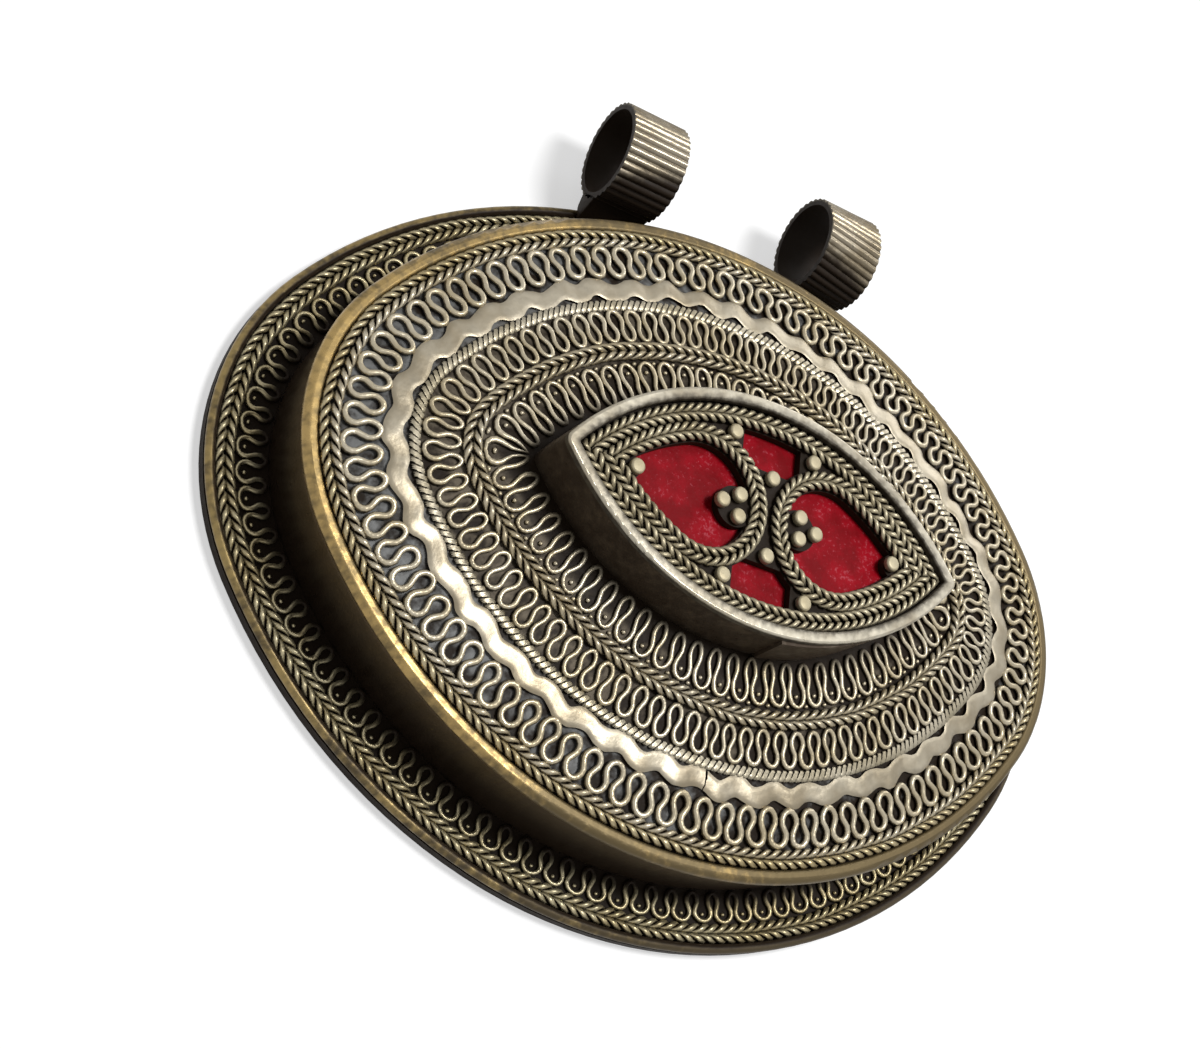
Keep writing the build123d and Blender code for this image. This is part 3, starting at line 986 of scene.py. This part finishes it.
# %% Dress the silver
# Painted shadows: the cover's on the flange, the setting wall's on the inner loops; painted shade
# under the bails.
COVER_SHADOW = (19.3 * MM, 20.8 * MM)
BEZEL_SHADOW = (0.0, 1.8 * MM)
BAIL_SHADE = (23.9 * MM, 25.6 * MM)
RIM_EDGE = (-1.65 * MM, -0.4 * MM)
front_loops = aged_silver("aged_loops", "front", -0.35, 0.3, 0.32)
front_twist = aged_silver("aged_twist", "front", -0.5, 0.25, 0.34, grooved=True)
gilt_twist = aged_silver("gilt_twist", "gilt", -0.5, 0.25, 0.32, grooved=True)
panel_twist = aged_silver("panel_twist", "panel", -0.3, 0.5, 0.4, grooved=True)
inner_loops = aged_silver("inner_loops", "front", -0.35, 0.3, 0.32, foot=BEZEL_SHADOW)
flange_loops = aged_silver("flange_loops", "flange", -0.3, 0.4, 0.34, foot=COVER_SHADOW)
flange_twist = aged_silver("flange_twist", "flange", -0.5, 0.25, 0.36, grooved=True)
reeded_strip = aged_silver("reeded_strip", "strip", -0.7, 0.8, 0.3, grooved=True, foot=BAIL_SHADE)
for piece in silver_pieces:
    on_flange = piece["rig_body"] == "back_tray"
    is_twist = piece.name.startswith("twisted")
    finishes = (flange_loops, flange_twist) if on_flange else (front_loops, front_twist)
    wear(piece, finishes[is_twist])
    if piece.name.endswith("scroll_inner"):
        wear(piece, inner_loops)
    if piece.name.endswith("twist_1"):
        wear(piece, gilt_twist)
    if piece.name.startswith(("twisted_frame", "twisted_leaf")):
        wear(piece, panel_twist)
for bail in bails:
    wear(bail, reeded_strip)
wear(ribbon, aged_silver("ribbon_silver", "ribbon", 0.45, 0.95, 0.36))
wear(milled, aged_silver("flat_silver", "milled", -0.1, 0.7, 0.32))
wear(granules, aged_silver("aged_granules", "grain", -0.5, 0.1, 0.48, metallic=0.4))
dress("bezel_rim", aged_silver("burnished_rim", "rim", -0.3, 0.6, 0.3, foot=RIM_EDGE))
print("silver pieces:", len(silver_pieces))

# %% [markdown]
# The sheet under the filigree was never rubbed. It is brown-black, with bare metal in places, most
# on the left: bluish grey under the outer loops and a warmer grey further in. The cover's sheet
# ends in a lip over the wall, and there it is as brown as the wall.

# %% Tarnished sheet
BROWN_BLACK = (0.014, 0.0085, 0.0045)
BLUE_GREY = (0.16, 0.162, 0.16)
WARM_GREY = (0.12, 0.1, 0.074)
GREY_CHANGE = (9.5 * MM, 11.5 * MM)
LIP_BROWN = (0.1, 0.07, 0.038)
LIP_START = 18.25 * MM
LIP_BLUR = 0.2 * MM
BARE_BLUR = 1.0 * MM
BARE_TO_LEFT = 4.2
BARE_SHOWS = (0.44, 0.78)
SHEET_SCALES = (380.0, 1500.0)
SHEET_BUMP = 0.05 * MM


def tarnished_sheet(name, dark, pale, bare, shine, lip=None):
    """Sheet that shows paler metal between two offsets, and brown metal beyond the lip."""
    material, spot = new_finish(name)
    patches, fine = (noise(spot, scale) for scale in SHEET_SCALES)
    ring = ring_of(spot)
    first, last = bare
    inside = ease(ring, first, first + BARE_BLUR) * (1.0 - ease(ring, last, last + BARE_BLUR))
    uneven = patches - part_of(spot, 0) * BARE_TO_LEFT + (fine - 0.5) * 0.5
    shows = inside * ease(uneven, *BARE_SHOWS)
    metallic = shows * 0.4
    if lip:
        edge = ease(ring, lip, lip + LIP_BLUR)
        grey = mix(ease(ring, *GREY_CHANGE), WARM_GREY, pale)
        colour = mix(edge, mix(shows, dark, grey), LIP_BROWN)
        metallic = metallic + edge * 0.6
    else:
        colour = mix(shows, dark, pale)
    sockets = {
        "Base Color": colour,
        "Metallic": metallic,
        "Roughness": 0.3 * fine + shine,
        "Specular IOR Level": 0.1,
    }
    return close_finish(material, spot, fine, SHEET_BUMP, sockets)


NOWHERE = (30.0 * MM, 40.0 * MM)
UNDER_LOOPS = (2.0 * MM, 16.5 * MM)
WHOLE_WALL = (-5.0 * MM, 5.0 * MM)
WHOLE_COLLAR = (0.0, 40.0 * MM)
SHEETS = [
    ("back_plate", BROWN_BLACK, BLUE_GREY, NOWHERE, 0.4, None),
    ("window_panel", BROWN_BLACK, BLUE_GREY, NOWHERE, 0.4, None),
    ("cover_plate", BROWN_BLACK, BLUE_GREY, UNDER_LOOPS, 0.4, LIP_START),
    ("bezel_wall", (0.06, 0.042, 0.028), (0.12, 0.09, 0.062), WHOLE_WALL, 0.18, None),
    ("tray_collar", (0.1, 0.085, 0.065), (0.22, 0.2, 0.165), WHOLE_COLLAR, 0.3, None),
]
for node, dark, pale, bare, shine, lip in SHEETS:
    dress(node, tarnished_sheet("sheet_" + node, dark, pale, bare, shine, lip))
LAP_DARK = (0.08, 0.058, 0.04)
LAP_PALE = (0.15, 0.12, 0.09)
wear(lap, tarnished_sheet("sheet_lap", LAP_DARK, LAP_PALE, WHOLE_WALL, 0.22))
print("sheets:", len(SHEETS) + 1)

# %% [markdown]
# The edge wire, the bead and the wall of the cover are brass. It is dull brown, and gold on the
# left as a painted reflection of a bright left side, with upright streaks from rubbing against
# cloth: noise that is stretched along Z. The edge wire darkens towards its corner with the twisted
# wire beside it, and the lower part of the wall is painted shade.

# %% Brass
BRASS_SCALES = (120.0, 800.0)
STREAK_SCALE = 1300.0
STREAK_STRETCH = (1.0, 1.0, 0.06)
# Gold towards the left is a painted reflection of a bright left side.
GOLD_TO_LEFT = 9.0
GOLD_SHOWS = (0.5, 1.0)
LENS_EDGE = (0.0, MM)
EDGE_CORNER = (23.8 * MM, 24.25 * MM)
# Painted shade on the lower part of the cover's wall.
WALL_SHADE = (3.8 * MM, 8.6 * MM)


def old_brass(name, gold, brown, shine, foot=LENS_EDGE, by_height=False):
    """Brass, gold towards the left as a painted reflection, darker towards the lower of two
    offsets, or heights.
    """
    material, spot = new_finish(name)
    patches, fine = (noise(spot, scale) for scale in BRASS_SCALES)
    stretch = {0: spot, 1: STREAK_STRETCH}
    drawn = spot.node("ShaderNodeVectorMath", {"operation": "MULTIPLY"}, stretch)
    streaks = noise(drawn, STREAK_SCALE)
    gold_and_reflection_signal = patches - part_of(spot, 0) * GOLD_TO_LEFT + (streaks - 0.5) * 0.9
    gold_and_reflection = ease(gold_and_reflection_signal, *GOLD_SHOWS)
    # Darker towards the lower offset or height: on the cover's wall this is painted shade.
    level = part_of(spot, 2) if by_height else ring_of(spot)
    bare = ease(level + (fine - 0.5) * 0.3 * MM, *foot)
    sockets = {
        "Base Color": mix(bare, TARNISH_AND_SHADE, mix(gold_and_reflection, brown, gold)),
        "Metallic": (0.6 + gold_and_reflection * 0.3) * bare,
        "Roughness": (1.0 - gold_and_reflection) * 0.15 + (fine - 0.5) * 0.15 + shine,
        "Specular IOR Level": DULL,
    }
    return close_finish(material, spot, fine, FINE_BUMP, sockets)


bead = old_brass("brass_bead", (0.36, 0.25, 0.1), (0.12, 0.09, 0.045), 0.26)
edge = old_brass("brass_edge", (0.26, 0.19, 0.08), (0.075, 0.058, 0.034), 0.32, EDGE_CORNER)
wall = old_brass("brass_wall", (0.15, 0.105, 0.055), (0.085, 0.06, 0.033), 0.3, WALL_SHADE, True)
for node, brass in (("cover_bead", bead), ("back_edge_wire", edge), ("cover_wall", wall)):
    dress(node, brass)
    print(node, "wears", brass.name)

# %% [markdown]
# The glass is deep red, cloudy inside and dusty on top. Under it lies black pitch, and in the tray
# a roll of old paper.

# %% Glass, pitch and paper
CLOUD_SCALE = 350.0
DUST_SCALE = 2737.0
DEEP_RED = (0.2, 0.0005, 0.004)
CLOUDY_RED = (0.36, 0.001, 0.01)
PINK_DUST = (0.62, 0.16, 0.2)


def red_stone(name):
    """Red glass with clouds inside and dust on top."""
    material, spot = new_finish(name)
    clouds = noise(spot, CLOUD_SCALE)
    dust = noise(spot, DUST_SCALE, 4.0, 0.7)
    red = mix(ease(clouds, 0.35, 0.7), DEEP_RED, CLOUDY_RED)
    dusty = ease(dust + (clouds - 0.5) * 0.4, 0.57, 0.72) * 0.4
    sockets = {
        "Base Color": mix(dusty, red, PINK_DUST),
        "Roughness": 0.2 + dust * 0.35,
        "Specular IOR Level": 0.06,
    }
    return close_finish(material, spot, dust, FINE_BUMP, sockets)


def rough_matter(name, dark, light, scale, bump_height):
    """Matt stuff with a grain of this scale."""
    material, spot = new_finish(name)
    grain = noise(spot, scale, 5.0, 0.6)
    sockets = {
        "Base Color": mix(ease(grain, 0.3, 0.7), dark, light),
        "Roughness": 0.6 + grain * 0.3,
    }
    return close_finish(material, spot, grain, bump_height, sockets)


pitch_black = rough_matter("black_pitch", (0.02, 0.014, 0.012), (0.06, 0.04, 0.03), 500.0, 0.1 * MM)
paper = rough_matter("old_paper", (0.5, 0.4, 0.25), (0.75, 0.66, 0.48), 400.0, 0.05 * MM)
dress("red_glass", red_stone("deep_red_glass"))
dress("setting_bed", pitch_black)
dress("prayer_roll", paper)
print("glass, pitch and paper are dressed")

# %% [markdown]
# The box lies on a white table. The floor adds a little glow of its own for the camera and for
# reflections, so that it reads as white, and a matt part that still takes the shadow. Away from
# the box it fades to plain white.

# %% Floor
FLOOR_SIZE = 6.0
FLOOR_Z = -0.2 * MM
FLOOR_GREY = (0.6, 0.6, 0.6, 1.0)
FLOOR_GLOW = 0.55
FADE = (0.12, 0.3)


def on_show(start):
    """1 for a ray that the camera sees straight, in a mirror or through glass."""
    kinds = ("Is Camera Ray", "Is Glossy Ray", "Is Transmission Ray")
    straight, mirrored, through = (start.node("ShaderNodeLightPath", out=kind) for kind in kinds)
    return straight + mirrored + through


deselect()
bpy.ops.mesh.primitive_plane_add(size=FLOOR_SIZE, location=(0, 0, FLOOR_Z))
floor = named("floor")
table, spot = new_finish("white_table")
matt = spot.node("ShaderNodeBsdfDiffuse", None, {"Color": FLOOR_GREY})
glow = spot.node("ShaderNodeEmission", None, {"Strength": FLOOR_GLOW})
unlit = spot.node("ShaderNodeEmission", None, {"Strength": 0.0})
shown = spot.node("ShaderNodeMixShader", None, {0: on_show(spot), 1: unlit, 2: glow})
near = spot.node("ShaderNodeAddShader", None, {0: shown, 1: matt})
white = spot.node("ShaderNodeEmission", None, {"Strength": 1.0})
far = spot.node("ShaderNodeMixShader", None, {0: on_show(spot), 1: matt, 2: white})
away = spot.node("ShaderNodeVectorMath", {"operation": "LENGTH"}, {0: spot}, out="Value")
both = spot.node("ShaderNodeMixShader", None, {0: ease(away, *FADE), 1: near, 2: far})
spot.node("ShaderNodeOutputMaterial", None, {"Surface": both})
floor.data.materials.append(table)
print("floor fades to white between these distances, m:", FADE)

# %% [markdown]
# The photograph has a lamp high on the right and a bright room around it. An area lamp gives the
# shadow to the left, and the world gives the soft rest.

# %% Light
AIM = Vector((0, 0, 10 * MM))
SKY_LEVEL = 0.2
LAMPS = [
    ("key", (140, 60, 490), 130, 1.9),
    ("side", (420, 420, 260), 260, 0.8),
]
for name, place_mm, size_mm, watts in LAMPS:
    lamp_data = bpy.data.lights.new(name, "AREA")
    lamp_data.size = size_mm * MM
    lamp_data.energy = watts
    lamp = bpy.data.objects.new(name, lamp_data)
    lamp.location = Vector(place_mm) * MM
    lamp.rotation_euler = (AIM - lamp.location).to_track_quat("-Z", "Y").to_euler()
    bpy.context.scene.collection.objects.link(lamp)
world = bpy.data.worlds.new("studio")
bpy.context.scene.world = world
room = new_network(world)
sky = room.node("ShaderNodeBackground", None, {"Color": (1, 1, 1, 1), "Strength": SKY_LEVEL})
white = room.node("ShaderNodeBackground", None, {"Color": (1, 1, 1, 1), "Strength": 1.0})
backdrop = room.node("ShaderNodeMixShader", None, {0: on_show(room), 1: sky, 2: white})
room.node("ShaderNodeOutputWorld", None, {"Surface": backdrop})
print("lamps:", len(LAMPS))

# %% [markdown]
# The camera stands where the photograph was taken: low on the left, tilted, with the long axis
# running down to the right.

# %% Camera
CAMERA_PLACE = Vector((-79.87, -63.14, 130.12)) * MM
CAMERA_RIGHT = Vector((0.8411, 0.11545, 0.52841))
CAMERA_DOWN = Vector((0.30479, -0.90825, -0.2867))
CAMERA_AHEAD = Vector((0.44683, 0.4022, -0.79911))
LENS = 51.914
SENSOR = 36.0
NEAREST = 5 * MM
camera_data = bpy.data.cameras.new("camera")
camera_data.lens = LENS
camera_data.sensor_width = SENSOR
camera_data.sensor_fit = "HORIZONTAL"
camera_data.clip_start = NEAREST
camera = bpy.data.objects.new("camera", camera_data)
turn = Matrix((CAMERA_RIGHT, -CAMERA_DOWN, -CAMERA_AHEAD)).transposed()
camera.matrix_world = Matrix.Translation(CAMERA_PLACE) @ turn.to_4x4()
bpy.context.scene.collection.objects.link(camera)
bpy.context.scene.camera = camera
bpy.context.scene.view_settings.view_transform = "Standard"
print("camera's distance, mm:", round(CAMERA_PLACE.length / MM))
